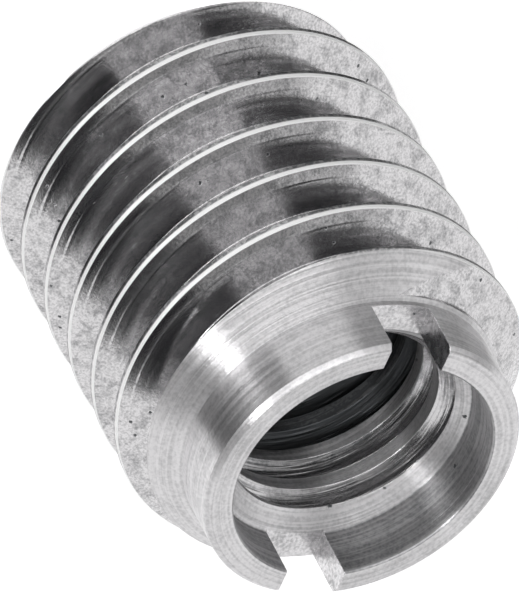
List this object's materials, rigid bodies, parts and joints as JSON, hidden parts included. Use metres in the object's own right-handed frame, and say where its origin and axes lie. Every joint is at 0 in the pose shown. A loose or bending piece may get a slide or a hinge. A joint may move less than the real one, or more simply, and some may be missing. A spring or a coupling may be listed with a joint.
{
  "type": "thread reducer",
  "caption": "Slotted thread reducer bush: coarse outer thread, collar with a screwdriver slot, counterbored mouth and a finer inner thread right through.",
  "frame": {"origin": "centre of the flat end face, which the part stands on", "axes": "+Z along the axis, from the flat end towards the slotted end; the screwdriver slot runs along X"},
  "size_m": [0.0078, 0.0078, 0.0096],
  "materials": {
    "turned_steel": "bright turned steel with fine lathe marks, cut threads and a sawn slot"
  },
  "bodies": {
    "root": {"reducer_body": "turned_steel"}
  },
  "joints": []
}
